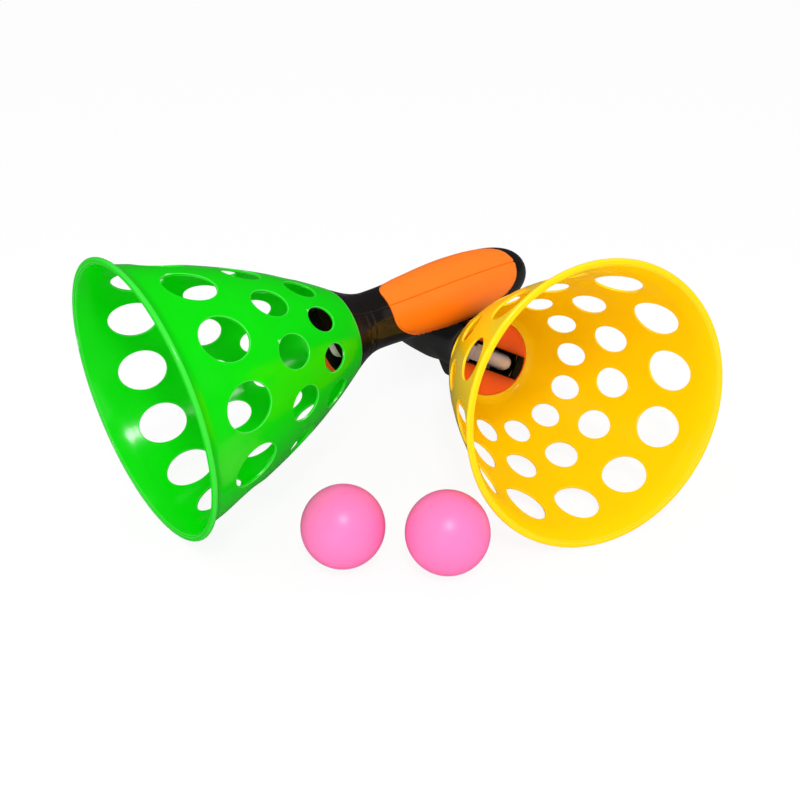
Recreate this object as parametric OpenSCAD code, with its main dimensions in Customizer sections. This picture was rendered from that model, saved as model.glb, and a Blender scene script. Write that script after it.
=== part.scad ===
// Two hand-held launch-and-catch baskets and two balls, lying on a table as in the photograph.
// Each catcher is built along +Z: the basket's mouth is the plane z = 0, the handle's butt the far end.
// In that frame +X is the palm side with the grip, -X the finger side with the trigger,
// and the launch lever's tip points to +Y.

/* [Basket] */
// Outer radius of the wall, carried on to the mouth plane
mouth_r = 67; // [66:0.2:68]
// How far the flared lip stands out of the wall
lip_out = 3.2; // [2.6:0.1:3.8]
// Length of the lip and its cove along the axis
lip_len = 7; // [6:0.5:9]
// Thickness of the wall
wall = 1.5; // [1.3:0.1:1.9]
// Slope of the wall near the mouth, in degrees from the axis
side_angle = 12.3; // [11.5:0.1:13]
// How late the wall bends in toward the throat, as the power of its curve
wall_bow = 2.5; // [2.2:0.1:3]
// Length from the mouth plane to the handle's face
cup_len = 114.6; // [112:0.2:117]
// Outer radius of the basket where it meets the handle
throat_r = 25.6; // [25.4:0.1:26.4]
// Wall of the throat, inside which the ball passes
throat_wall = 2.9; // [2.7:0.1:3.1]
// Holes in each row
holes = 12; // [10:1:12]
// Distance of the first row from the mouth
row_a_z = 27.5; // [26:0.5:29]
// Radius of the round ends of the holes in the first row
row_a_r = 10.9; // [9:0.1:11.4]
// Straight side of these holes, along the wall
row_a_side = 3.8; // [1:0.1:5]
// Distance of the second row from the mouth
row_b_z = 61.5; // [60:0.5:63]
// Radius of the round ends of the holes in the second row
row_b_r = 8.3; // [7:0.1:9]
// Straight side of these holes
row_b_side = 4; // [1:0.1:5]
// Distance of the third row from the mouth
row_c_z = 88; // [86:0.5:89.5]
// Radius of the round ends of the holes in the third row
row_c_r = 6.9; // [5:0.1:7.3]
// Straight side of these holes
row_c_side = 5.2; // [1:0.1:6]

/* [Handle] */
// Length from the basket's end to the neck
neck_len = 25.9; // [25.4:0.1:27.4]
// Radius of the neck
neck_r = 16.8; // [16.6:0.1:17.4]
// Length from the basket's end to the thickest place of the grip
grip_len = 91.4; // [85.4:1:97.4]
// Radius there
grip_r = 20.4; // [19.8:0.1:21.4]
// Length from the basket's end to the butt
handle_len = 149.9; // [143.4:0.5:157.4]
// Depth of the handle on the finger side
finger_depth = 17; // [16.8:0.1:18]
// How far the finger side dips behind the trigger
finger_dip = 1.8; // [0:0.1:2]
// Wall of the shells in the grip
grip_wall = 3.2; // [3:0.1:3.6]
// Wall of the shells in the head
head_wall = 2; // [1.8:0.1:2.2]

/* [Grip panel] */
// How far behind the neck the panel starts
panel_from_neck = 4.2; // [3.6:0.1:9]
// How far before the thickest place it is widest
panel_wide_back = 5; // [0:1:15]
// How far before the butt it ends
panel_from_butt = 19.5; // [14.5:0.5:26]
// Half width of the panel, seen from the palm side
panel_half = 20.3; // [18:0.1:20.4]
// Thickness of the panel
panel_t = 1.9; // [1.6:0.1:2.2]
// How far the panel stands out of the shell
panel_proud = 0.3; // [0.1:0.1:0.5]

/* [Ball seat and launch lever] */
// Depth of the seat's dish
dish_depth = 2.6; // [2:0.1:3.2]
// Width of the slot that the lever swings in
slot_w = 14; // [13.8:0.1:14.4]
// Width of the lever's arm
lever_w = 10.5; // [9.5:0.1:10.9]
// Reach of the lever's tip from the axis
lever_reach = 14.2; // [13.6:0.1:15.6]
// Thickness of the lever's arm
lever_t = 3; // [2.6:0.1:3.2]
// How far the lever's round end stands up from the arm, toward the ball
nub_h = 6; // [5:0.5:7]

/* [Trigger] */
// Width of the trigger
trigger_w = 10; // [9:0.1:10.4]
// How far the trigger stands out of the finger side
trigger_out = 6; // [4:0.1:7]

/* [Balls] */
// Radius of a ball
ball_r = 20; // [18:0.1:20.5]

/* [Layout on the table] */
// Compass direction of the green catcher's axis, from mouth to butt
green_turn = 40.7; // [40:0.1:42]
// Compass direction of the yellow catcher's axis, from mouth to butt
yellow_turn = 111.5; // [111:0.1:112]

/* [Hidden] */
// Facets on round things
round_fn = 72;
small_fn = 32;
// Steps along each stretch of a curved outline, and in a search for the first contact
steps = 8;
fine = 100;
// Longer than anything that is cut with it
reach = 60;
// Gap between pieces that move past each other, and play of pieces that sit in each other
gap = 0.3;
play = 0.2;

// Basket: the wall bends inward by a power term that brings it to the throat
lip_r = mouth_r + lip_out;
bend = mouth_r - tan(side_angle) * cup_len - throat_r;
function wall_r(z) = mouth_r - tan(side_angle) * z - bend * pow(z / cup_len, wall_bow);
function wall_lean(z) = atan(tan(side_angle) + wall_bow * bend * pow(z / cup_len, wall_bow - 1) / cup_len);
// Lip: a bead of this radius on the outside, a flare on the inside that ends this far in
bead_r = 1.2;
bead_in = 2.4;
lip_turn = 75;
lip_flare = lip_out + wall - bead_in;
// Length of the cutters for the holes
hole_cut = 12;
// Throat: a ledge, a floor for the seat, a collar and a flange that the shells close on
bore_r = throat_r - throat_wall;
ledge_len = 2.5;
ledge_z = cup_len - ledge_len;
ledge_run = 3.1;
floor_t = 1;
seat_ledge = 2.9;
collar_t = 1.2;
collar_bore = bore_r - seat_ledge;
collar_r = collar_bore + collar_t;
collar_len = 2.6;
flange_out = 1;
flange_r = collar_r + flange_out;
flange_len = 1.6;
flange_z = cup_len + collar_len;
shoulder_z = flange_z + flange_len;

// Handle: flare from the head to the neck, swell to the grip, round to the butt
head_z = cup_len;
head_r = throat_r;
neck_z = head_z + neck_len;
grip_z = head_z + grip_len;
handle_end = head_z + handle_len;
butt_bow = 3;
butt_round = 0.4;
function outer_r(z) = z < neck_z
    ? neck_r + (head_r - neck_r) * (1 - cos(90 * (neck_z - z) / neck_len))
    : z < grip_z
        ? neck_r + (grip_r - neck_r) * (1 - cos(180 * (z - neck_z) / (grip_z - neck_z))) / 2
        : grip_r * pow(1 - pow((z - grip_z) / (handle_end - grip_z), butt_bow), butt_round);
// Finger side: a second round form on an axis set off toward the palm
finger_shift = 8;
finger_len = 55.5;
finger_z = neck_z + finger_len;
finger_bow = 4;
function finger_r(z) = finger_shift + (z < finger_z
    ? finger_depth - finger_dip * (1 - cos(360 * (z - neck_z) / (finger_z - neck_z))) / 2
    : finger_depth * pow(1 - pow((z - finger_z) / (handle_end - finger_z), finger_bow), butt_round));
// How far the shells reach out in a direction at an angle to the palm side
function shell_reach(z, off) = min(outer_r(z), finger_shift * cos(off) + finger_r(z));
// Inner face of the shells on the finger side, under a wall and clear of the neck's round
finger_wall = 2.6;
neck_room = 1;
finger_face = min(finger_depth - finger_dip - finger_wall, neck_r - grip_wall - neck_room);
// Grooves round the flare
groove_from = 10.4;
groove_pitch = 5;
groove_z = [head_z + groove_from, head_z + groove_from + groove_pitch];
groove_w = 0.8;
groove_deep = 0.5;

// Grip panel
panel_start = neck_z + panel_from_neck;
panel_wide_z = grip_z - panel_wide_back;
panel_end = handle_end - panel_from_butt;
panel_neck_round = 0.22;
panel_butt_round = 0.33;
panel_edge_x = 2;
panel_fit = 0.05;
seam = 0.15;

// Ball seat
seat_r = bore_r - gap;
seat_rim = 1.6;
seat_z = ledge_z;
dish_r = seat_r - seat_rim;
dish_in = 0.2;
dish_edge = seat_z + dish_in;
dish_t = 1.6;
skirt_r = collar_bore - play;
slot_end = 0.6;
slot_half_len = dish_r - slot_end;
lug_t = 2.4;
lug_r = 2.8;
function dish_z(r) = dish_edge + dish_depth * (1 - pow(r / dish_r, 2));

// Launch lever and its pin
pivot_in = 6.3;
pivot_y = pivot_in - collar_bore;
pin_r = 1.25;
running = 0.05;
lever_deep = 4.3;
lever_top = dish_edge + lever_deep;
nub_in = 0.4;
nub_r = lever_w / 2 - nub_in;
pivot_z = lever_top + lever_t;
hub_r = 2.9;
hub_from = gap - slot_w / 2;
spring_room = 3.4;
hub_to = slot_w / 2 - spring_room;
arm_back = 3.1;
catch_y = 3;
catch_l = 4;
catch_t = 2;
catch_over = 0.5;
catch_out = slot_w / 2 + catch_over;
catch_len = 5.4;
catch_bottom = pivot_z + catch_len;
catch_h = 2;

// Springs: coils of stacked rings with two legs, each ring a little way into the next
wire_r = 0.4;
coil_r = 2.3;
coil_turns = 3;
coil_lap = 0.01;
coil_pitch = 2 * wire_r - coil_lap;
leg_len = 8;
tail_len = 5.4;

// Trigger: hub, sear arm toward the lever, pad through the slot
trigger_hub = 3.2;
trigger_x = trigger_hub + play - finger_face;
trigger_before = 4.5;
trigger_z = neck_z - trigger_before;
sear_over = 1.6;
sear_z = catch_bottom + sear_over;
sear_t = 3;
sear_x = [trigger_x - sear_t * 2 / 3, trigger_x + sear_t / 3];
sear_tip = -catch_out - gap;
sear_h = 1.5;
slot_len = 27.6;
slot_z = [neck_z + gap, neck_z + gap + slot_len];
// Play of the pad at the slot's ends, more where it swings out
pad_play = [0.5, 1.4];
pad_z = [slot_z[0] + pad_play[0], slot_z[1] - pad_play[1]];
pad_t = 1.2;
pad_back = trigger_x + pad_t;
pad_in = finger_dip - finger_depth;
pad_skew = 0.6;
web_up = 1;
web_in = 0.4;
// The stop lies inside the wall on both sides of the slot
stop_in = [10.7, 1];
stop_z = [pad_z[0] + stop_in[0], pad_z[1] - stop_in[1]];
stop_half = sqrt(pow(outer_r(stop_z[0]) - grip_wall, 2) - pow(finger_face - gap, 2)) - gap;
stop_t = 2.3;
pin_cover = 1.95;
pin_half = sqrt(pow(outer_r(trigger_z), 2) - pow(trigger_x, 2)) - pin_cover;
pin_boss = 3;

// Case screws, evenly from the slot to the butt, the last one nearer the axis
boss_r = 4.2;
boss_room = 0.4;
boss_after_slot = 1.4;
screw_x = boss_r + boss_room - finger_face;
screw_shift = 4;
screw_first = slot_z[1] + boss_r + boss_after_slot;
screw_from_butt = 23.5;
screw_gaps = 3;
screw_pitch = (handle_end - screw_from_butt - screw_first) / screw_gaps;
screw_at = [for (i = [0 : screw_gaps])
    [i < screw_gaps ? screw_x : screw_x + screw_shift, screw_first + i * screw_pitch]];
screw_r = 1.3;
screw_head_r = 2.8;
screw_head_h = 2;
screw_seat = 7.5;
screw_len = 15;
cross_w = 0.8;
cross_share = 1.4;

// Layout: each catcher as [x, y, turn, tilt, palm angle], with x and y at the mouth's middle
green_xy = [-123.4, -128.2];
green_palm = 136.4;
yellow_xy = [95.1, -130.2];
yellow_palm = 117.8;
function run_of(at) = [cos(at[3]) * cos(at[2]), cos(at[3]) * sin(at[2]), sin(at[3])];
function side_of(at) = [-sin(at[2]), cos(at[2]), 0];
function palm_of(at) = cos(at[4]) * side_of(at) + sin(at[4]) * cross(run_of(at), side_of(at));
// Height of the mouth's middle when the bead of the lip rests on the table
function mouth_h(tilt) = (lip_r - bead_r) * cos(tilt) + bead_r * (1 - sin(tilt));
// The yellow catcher lies on its lip and its butt: of the tilts at which one ring of the butt
// meets the table, the one reached first
function rest_tilt(z, r) = let (run = z - bead_r, rise = lip_r - bead_r - r)
    atan2(run, rise) - acos(-bead_r / norm([run, rise]));
yellow_tilt = max([for (i = [0 : fine])
    let (z = finger_z + sin(90 * i / fine) * (handle_end - finger_z))
        rest_tilt(z, shell_reach(z, 90 + yellow_palm))]);
yellow_at = [yellow_xy[0], yellow_xy[1], yellow_turn, yellow_tilt, yellow_palm];
// The green catcher lies on its lip and on the yellow handle: clearance between the two handles
// where their axes pass each other, a being the green axis and b the yellow one
function green_with(tilt) = [green_xy[0], green_xy[1], green_turn, tilt, green_palm];
function crossing_gap(green_at, yellow_at) = let (
    a = run_of(green_at),
    b = run_of(yellow_at),
    up = cross(a, b) / norm(cross(a, b)),
    d = concat(yellow_xy - green_xy, mouth_h(yellow_at[3]) - mouth_h(green_at[3])),
    s = (d * a - (d * b) * (a * b)) / (1 - pow(a * b, 2)),
    t = s * (a * b) - d * b)
    -d * up - panel_proud
        - shell_reach(s, acos(-palm_of(green_at) * up))
        - shell_reach(t, acos(palm_of(yellow_at) * up));
function solve_tilt(low, high, n) = let (mid = (low + high) / 2)
    n == 0 ? mid
    : crossing_gap(green_with(mid), yellow_at) > rest_gap ? solve_tilt(low, mid, n - 1)
    : solve_tilt(mid, high, n - 1);
rest_gap = 0.25;
green_at = green_with(solve_tilt(-15, 15, 20));
// The balls: the right one beside the yellow lip, the left one beside it
ball_side = 11.5;
ball_front = 0.8;
ball_gap = 9.2;
ball_turn = 174.7;
ball_right_at = yellow_xy + (lip_r + ball_r - ball_side) * [-sin(yellow_turn), cos(yellow_turn)]
    - ball_front * [cos(yellow_turn), sin(yellow_turn)];
ball_left_at = ball_right_at + (2 * ball_r + ball_gap) * [cos(ball_turn), sin(ball_turn)];
// Shift that puts the middle of the whole set on the frame's origin
set_shift = [4.2, 34.6];

// Colours
green = [0.04, 0.8, 0.08];
yellow = [1, 0.82, 0];
orange = [1, 0.45, 0.08];
black = [0.05, 0.05, 0.06];
steel = [0.7, 0.72, 0.74];
pale = [0.85, 0.75, 0.72];
pink = [1, 0.45, 0.74];

// Outline of the basket's wall: lip bead, cove, outside, throat, inside
basket_outline = concat(
    [for (i = [0 : steps]) let (a = -90 + i * (90 + lip_turn) / steps)
        [lip_r - bead_r + bead_r * cos(a), bead_r + bead_r * sin(a)]],
    [for (i = [1 : steps]) let (
        t = i / steps,
        z0 = bead_r * (1 + sin(lip_turn)),
        z = z0 + t * (lip_len - z0),
        r0 = lip_r - bead_r * (1 - cos(lip_turn)))
        [wall_r(z) + (r0 - wall_r(z0)) * pow(1 - t, 2), z]],
    [for (i = [1 : 2 * steps]) let (z = lip_len + i * (cup_len - lip_len) / (2 * steps)) [wall_r(z), z]],
    [[collar_r, cup_len], [collar_r, flange_z], [flange_r, flange_z], [flange_r, shoulder_z]],
    [[collar_bore, shoulder_z], [collar_bore, cup_len - floor_t], [bore_r, cup_len - floor_t]],
    [[bore_r, ledge_z + wall / 4], [bore_r + wall / 4, ledge_z]],
    [for (i = [0 : 2 * steps]) let (
        z0 = ledge_z - ledge_run / 2,
        z = z0 - i * (z0 - lip_len) / (2 * steps))
        [wall_r(z) - wall, z]],
    [for (i = [1 : steps]) let (t = i / steps, z = (1 - t) * lip_len)
        [wall_r(z) - wall + lip_flare * t * t, z]]
);

function body_outline(cut, head_cut, from_z) = concat(
    [[0, from_z]],
    [for (i = [0 : steps - 1]) let (z = from_z + i * (neck_z - from_z) / steps) [outer_r(z) - head_cut, z]],
    [for (i = [0 : steps]) let (z = neck_z + i * (grip_z - neck_z) / steps) [outer_r(z) - cut, z]],
    [for (i = [1 : steps]) let (t = sin(90 * i / steps))
        [(grip_r - cut) * pow(1 - pow(t, butt_bow), butt_round), grip_z + t * (handle_end - cut - grip_z)]]
);

finger_outline = concat(
    [[0, head_z - 1], [reach, head_z - 1], [reach, neck_z]],
    [for (i = [0 : steps]) let (z = neck_z + i * (finger_z - neck_z) / steps) [finger_r(z), z]],
    [for (i = [1 : steps]) let (z = finger_z + sin(90 * i / steps) * (handle_end - finger_z))
        [finger_r(z), z]],
    [[0, handle_end]]
);

// Outline of the panel in plan, as [y, z]
function panel_y(t, bow) = panel_half * pow(1 - t * t, bow);
panel_side = concat(
    [for (i = [steps : -1 : 1]) let (t = sin(90 * i / steps))
        [panel_y(t, panel_neck_round), panel_wide_z - t * (panel_wide_z - panel_start)]],
    [for (i = [0 : steps]) let (t = sin(90 * i / steps))
        [panel_y(t, panel_butt_round), panel_wide_z + t * (panel_end - panel_wide_z)]]
);

// Row of oblong holes, square to the wall and longer along it
module hole_row(z, r, side, turn) {
    for (i = [0 : holes - 1])
        rotate([0, 0, (i + turn) * 360 / holes])
            translate([wall_r(z) - wall / 2, 0, z])
                rotate([0, 90 - wall_lean(z), 0]) {
                    for (s = [-1, 1])
                        translate([s * side / 2, 0, 0])
                            cylinder(h = hole_cut, r = r, center = true, $fn = small_fn);
                    cube([side, 2 * r, hole_cut], center = true);
                }
}

module cup(tint) {
    color(tint) difference() {
        rotate_extrude($fn = round_fn) polygon(basket_outline);
        hole_row(row_a_z, row_a_r, row_a_side, 0);
        hole_row(row_b_z, row_b_r, row_b_side, 0.5);
        hole_row(row_c_z, row_c_r, row_c_side, 0);
    }
}

// Half of space on one side of the split, side = 1 for +Y and -1 for -Y
module half_space(side, off) {
    translate([-reach, side > 0 ? off : -reach - off, head_z - reach])
        cube([2 * reach, reach, handle_end]);
}

// Round form of the handle; its seam lies on the side away from the half that is built
module body_form(side, cut, head_cut, from_z) {
    rotate([0, 0, -90 * side]) rotate_extrude($fn = round_fn) polygon(body_outline(cut, head_cut, from_z));
}

// Cylinder along Y at [x, z] from y0 to y1
module cross_cylinder(x, z, y0, y1, r) {
    translate([x, y0, z]) rotate([-90, 0, 0]) cylinder(h = y1 - y0, r = r, $fn = small_fn);
}

// Prism of the panel's plan, grown by a clearance
module panel_prism(grow) {
    translate([panel_edge_x - grow, 0, 0])
        rotate([90, 0, 90])
            linear_extrude(reach) polygon([
                for (s = [1, -1])
                    for (i = s > 0 ? [0 : len(panel_side) - 1] : [len(panel_side) - 1 : -1 : 0])
                        let (p = panel_side[i])
                            [s * (p[0] + grow), p[1] + (p[1] > panel_wide_z ? grow : -grow)]
            ]);
}

module grip_half(side) {
    color(orange) intersection() {
        difference() {
            body_form(side, -panel_proud, -panel_proud, head_z);
            body_form(side, panel_t, panel_t, head_z - 1);
        }
        panel_prism(0);
        half_space(side, seam);
    }
}

module shell_posts(side) {
    for (p = screw_at)
        cross_cylinder(p[0], p[1], side > 0 ? 0 : -reach, side > 0 ? reach : 0, boss_r);
    cross_cylinder(trigger_x, trigger_z, side > 0 ? trigger_w / 2 + gap : -reach,
        side > 0 ? reach : -trigger_w / 2 - gap, pin_boss);
}

module handle_half(side) {
    color(black) difference() {
        intersection() {
            body_form(side, 0, 0, head_z);
            translate([finger_shift, 0, 0]) rotate([0, 0, -90 * side])
                rotate_extrude($fn = round_fn) polygon(finger_outline);
            half_space(side, 0);
        }
        difference() {
            intersection() {
                body_form(side, grip_wall, head_wall, shoulder_z);
                translate([-finger_face, -reach, 0]) cube([reach + finger_face, 2 * reach, handle_end]);
            }
            shell_posts(side);
        }
        translate([0, 0, head_z - 1]) cylinder(h = collar_len + 1, r = collar_r, $fn = round_fn);
        translate([0, 0, flange_z]) cylinder(h = flange_len, r = flange_r, $fn = round_fn);
        // Slot of the trigger, pin seats and screw holes
        translate([-reach, -trigger_w / 2 - gap, slot_z[0]])
            cube([reach - finger_face + 1, trigger_w + 2 * gap, slot_z[1] - slot_z[0]]);
        cross_cylinder(trigger_x, trigger_z, -pin_half, pin_half, pin_r);
        for (p = screw_at) {
            cross_cylinder(p[0], p[1], screw_seat - screw_len, reach, screw_r);
            cross_cylinder(p[0], p[1], screw_seat, reach, screw_head_r + gap);
        }
        // Pocket of the grip panel
        intersection() {
            difference() {
                half_space(side, 0);
                body_form(side, panel_t, panel_t, head_z - 1);
            }
            panel_prism(panel_fit);
        }
        for (z = groove_z)
            translate([0, 0, z]) rotate([0, 0, -90 * side]) rotate_extrude($fn = round_fn)
                translate([outer_r(z) - groove_deep, 0]) square([head_r, groove_w]);
    }
}

module ball_seat() {
    color(orange) difference() {
        union() {
            rotate_extrude($fn = round_fn) polygon(concat(
                [for (i = [0 : steps]) [dish_r * i / steps, dish_z(dish_r * i / steps)]],
                [[dish_r, seat_z], [seat_r, seat_z]],
                [[seat_r, cup_len - floor_t], [skirt_r, cup_len - floor_t]],
                [for (i = [steps : -1 : 0]) [skirt_r * i / steps, dish_z(skirt_r * i / steps) + dish_t]]
            ));
            for (s = [0, 1]) mirror([s, 0, 0]) {
                translate([slot_w / 2, pivot_y, pivot_z]) rotate([0, 90, 0])
                    cylinder(h = lug_t, r = lug_r, $fn = small_fn);
                translate([slot_w / 2, pivot_y - lug_r, dish_z(-pivot_y) + dish_t / 4])
                    cube([lug_t, 2 * lug_r, pivot_z - dish_z(-pivot_y) - dish_t / 4]);
            }
        }
        translate([-slot_w / 2, -slot_half_len, 0]) cube([slot_w, 2 * slot_half_len, 2 * cup_len]);
        translate([-reach / 2, pivot_y, pivot_z]) rotate([0, 90, 0])
            cylinder(h = reach, r = pin_r, $fn = small_fn);
    }
}

module launch_lever() {
    color(pale) difference() {
        union() {
            translate([0, 0, lever_top]) linear_extrude(lever_t) {
                translate([0, lever_reach - lever_w / 2]) circle(r = lever_w / 2, $fn = round_fn);
                translate([-lever_w / 2, pivot_y + arm_back])
                    square([lever_w, lever_reach - lever_w / 2 - pivot_y - arm_back]);
            }
            // Round end, from the middle of the arm's thickness up
            translate([0, lever_reach - lever_w / 2, lever_top + lever_t / 2]) rotate([180, 0, 0])
                rotate_extrude($fn = round_fn) polygon(concat([[0, 0]], [for (i = [0 : steps])
                    [nub_r * cos(90 * i / steps), (lever_t / 2 + nub_h) * sin(90 * i / steps)]]));
            translate([-lever_w / 2, pivot_y, lever_top]) cube([lever_w / 2 + hub_to, arm_back, lever_t]);
            translate([hub_from, pivot_y, pivot_z]) rotate([0, 90, 0])
                cylinder(h = hub_to - hub_from, r = hub_r, $fn = small_fn);
            // Catch that the sear stands beside
            translate([-lever_w / 2, catch_y, lever_top]) cube([catch_t, catch_l, catch_bottom - lever_top]);
            translate([-catch_out, catch_y, catch_bottom - catch_h])
                cube([catch_out - lever_w / 2 + catch_t, catch_l, catch_h]);
        }
        translate([-reach / 2, pivot_y, pivot_z]) rotate([0, 90, 0])
            cylinder(h = reach, r = pin_r + running, $fn = small_fn);
    }
}

module lever_pin() {
    color(steel) translate([-slot_w / 2 - lug_t, pivot_y, pivot_z]) rotate([0, 90, 0])
        cylinder(h = slot_w + 2 * lug_t, r = pin_r, $fn = small_fn);
}

// Coil of rings round Z, from z = 0 up
module coil() {
    for (i = [0 : coil_turns - 1])
        translate([0, 0, wire_r + i * coil_pitch])
            rotate_extrude($fn = small_fn) translate([coil_r, 0]) circle(r = wire_r, $fn = small_fn);
}

module wire(l) {
    cylinder(h = l, r = wire_r, $fn = small_fn);
}

module lever_spring() {
    last = wire_r + (coil_turns - 1) * coil_pitch;
    color(steel) translate([hub_to + gap, pivot_y, pivot_z]) {
        rotate([0, 90, 0]) coil();
        // One leg under the arm, the tail toward the neck
        translate([wire_r, coil_r, lever_top + lever_t - pivot_z + wire_r]) rotate([-90, 0, 0]) wire(leg_len);
        translate([last, coil_r, 0]) wire(tail_len);
    }
}

module trigger() {
    pad = [for (i = [0 : steps]) let (t = i / steps)
        [pad_in - trigger_out * sin(180 * pow(t, pad_skew)), pad_z[0] + t * (pad_z[1] - pad_z[0])]];
    color(black) difference() {
        union() {
            rotate([90, 0, 0]) linear_extrude(trigger_w, center = true) {
                translate([trigger_x, trigger_z]) circle(r = trigger_hub, $fn = small_fn);
                polygon([
                    [sear_x[0], trigger_z], [sear_x[0], sear_z], [sear_tip, sear_z],
                    [sear_tip, sear_z + sear_h], [sear_x[1], sear_z + sear_h], [sear_x[1], trigger_z]
                ]);
                polygon(concat([
                    [pad_back, trigger_z + web_up], [trigger_x - trigger_hub + web_in, trigger_z + web_up],
                    [gap - finger_face, slot_z[0] + gap]
                ], pad, [[pad_back, pad_z[1]]]));
            }
            // Flange that stops the pad inside the shells
            translate([-finger_face + gap, -stop_half, stop_z[0]])
                cube([stop_t, 2 * stop_half, stop_z[1] - stop_z[0]]);
        }
        cross_cylinder(trigger_x, trigger_z, -reach, reach, pin_r + running);
        cross_cylinder(trigger_x, trigger_z, trigger_w / 2 - coil_turns * coil_pitch - 2 * gap, reach,
            trigger_hub + gap);
    }
}

module trigger_pin() {
    color(steel) cross_cylinder(trigger_x, trigger_z, -pin_half, pin_half, pin_r);
}

module trigger_spring() {
    last = wire_r + (coil_turns - 1) * coil_pitch;
    color(steel) translate([trigger_x, trigger_w / 2 - gap / 2, trigger_z]) rotate([90, 0, 0]) {
        coil();
        // Local Z runs toward -Y here, local Y toward +Z: one leg behind the pad, the tail inward
        translate([pad_back - trigger_x + wire_r, 0, last]) rotate([-90, 0, 0]) wire(leg_len + tail_len);
        translate([0, -coil_r, wire_r]) rotate([0, 90, 0]) wire(leg_len);
    }
}

module case_screws() {
    color(steel) for (p = screw_at) difference() {
        union() {
            cross_cylinder(p[0], p[1], screw_seat - screw_len, screw_seat, screw_r);
            cross_cylinder(p[0], p[1], screw_seat, screw_seat + screw_head_h, screw_head_r);
        }
        for (a = [0, 90])
            translate([p[0], screw_seat + screw_head_h, p[1]]) rotate([0, a, 0])
                cube([cross_share * screw_head_r, screw_head_h, cross_w], center = true);
    }
}

module on_table(at) {
    translate([at[0] + set_shift[0], at[1] + set_shift[1], mouth_h(at[3])])
        rotate([0, 90 - at[3], at[2]])
            rotate([0, 0, at[4] + 90])
                children();
}

module ball(at) {
    color(pink) translate([at[0] + set_shift[0], at[1] + set_shift[1], ball_r])
        sphere(r = ball_r, $fn = round_fn);
}

on_table(green_at) cup(green);  // green_cup
on_table(green_at) handle_half(-1);  // green_handle_left
on_table(green_at) handle_half(1);  // green_handle_right
on_table(green_at) grip_half(-1);  // green_grip_left
on_table(green_at) grip_half(1);  // green_grip_right
on_table(green_at) ball_seat();  // green_ball_seat
on_table(green_at) launch_lever();  // green_launch_lever
on_table(green_at) lever_pin();  // green_lever_pin
on_table(green_at) lever_spring();  // green_lever_spring
on_table(green_at) trigger();  // green_trigger
on_table(green_at) trigger_pin();  // green_trigger_pin
on_table(green_at) trigger_spring();  // green_trigger_spring
on_table(green_at) case_screws();  // green_case_screws
on_table(yellow_at) cup(yellow);  // yellow_cup
on_table(yellow_at) handle_half(-1);  // yellow_handle_left
on_table(yellow_at) handle_half(1);  // yellow_handle_right
on_table(yellow_at) grip_half(-1);  // yellow_grip_left
on_table(yellow_at) grip_half(1);  // yellow_grip_right
on_table(yellow_at) ball_seat();  // yellow_ball_seat
on_table(yellow_at) launch_lever();  // yellow_launch_lever
on_table(yellow_at) lever_pin();  // yellow_lever_pin
on_table(yellow_at) lever_spring();  // yellow_lever_spring
on_table(yellow_at) trigger();  // yellow_trigger
on_table(yellow_at) trigger_pin();  // yellow_trigger_pin
on_table(yellow_at) trigger_spring();  // yellow_trigger_spring
on_table(yellow_at) case_screws();  // yellow_case_screws
ball(ball_left_at);  // ball_left
ball(ball_right_at);  // ball_right
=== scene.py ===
"""Looks of the launch-and-catch set: two pierced baskets on black handles, and two pink balls.

Every finished piece is a surface worked out in the catcher's own frame, in millimetres: the basket's mouth
is the plane z = 0, z runs to the butt, +x is the palm side, -x the finger side and +y the lever's tip.
place() puts it on the table in metres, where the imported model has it.
"""

import math

import bmesh
import bpy
import numpy as np
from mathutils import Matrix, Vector


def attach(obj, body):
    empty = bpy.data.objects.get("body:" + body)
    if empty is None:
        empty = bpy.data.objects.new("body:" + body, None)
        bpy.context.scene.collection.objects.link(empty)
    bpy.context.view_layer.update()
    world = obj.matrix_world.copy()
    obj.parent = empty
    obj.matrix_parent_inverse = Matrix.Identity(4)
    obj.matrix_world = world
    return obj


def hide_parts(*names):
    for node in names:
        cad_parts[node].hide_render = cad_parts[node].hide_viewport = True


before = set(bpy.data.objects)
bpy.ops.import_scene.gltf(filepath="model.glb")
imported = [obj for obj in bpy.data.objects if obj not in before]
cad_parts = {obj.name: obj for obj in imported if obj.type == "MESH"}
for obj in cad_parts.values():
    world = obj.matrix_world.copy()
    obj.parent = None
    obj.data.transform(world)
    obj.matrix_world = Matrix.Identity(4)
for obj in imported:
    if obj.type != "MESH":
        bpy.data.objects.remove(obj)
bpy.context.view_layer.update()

MM = 0.001
PI = math.pi

# Basket, the same sizes as the solid but for a thinner wall at the holes
LIP_R, LIP_LEN, BEAD = 70.2, 7.0, 1.2
MOUTH_R, THROAT_R, CUP_LEN = 67.0, 25.6, 114.6
SIDE, BOW = math.tan(math.radians(12.3)), 2.5
BEND = MOUTH_R - SIDE * CUP_LEN - THROAT_R
WALL, RIM_ROUND = 1.2, 0.3
LIP_TOP, THROAT_LOW = 11.0, 98.8
# Lip: angle where its hollow meets the bead, width of its flat, round inside the flat, and the flare's width
BEAD_TURN, LIP_FLAT, LIP_EASE, LIP_WIDE = 75.0, 2.2, 0.4, 2.8
# Throat: easing at the handle's face, collar's outer and inner radius and end, and the shelf for the seat
FACE_EASE, FACE_IN, FACE_DROP = 0.35, 0.3, 0.02
COLLAR_R, COLLAR_IN, COLLAR_END, SHELF_Z = 21.0, 19.9, 118.7, 113.6
# Ledge round the seat: middle and radius of its round, and the sweep from it up to the wall
LEDGE_R, LEDGE_Z, LEDGE_ROUND = 23.2, 112.5, 0.5
SWEEP_TOP, SWEEP_OUT, SWEEP_UP = 108.8, 1.6, 1.3
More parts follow.
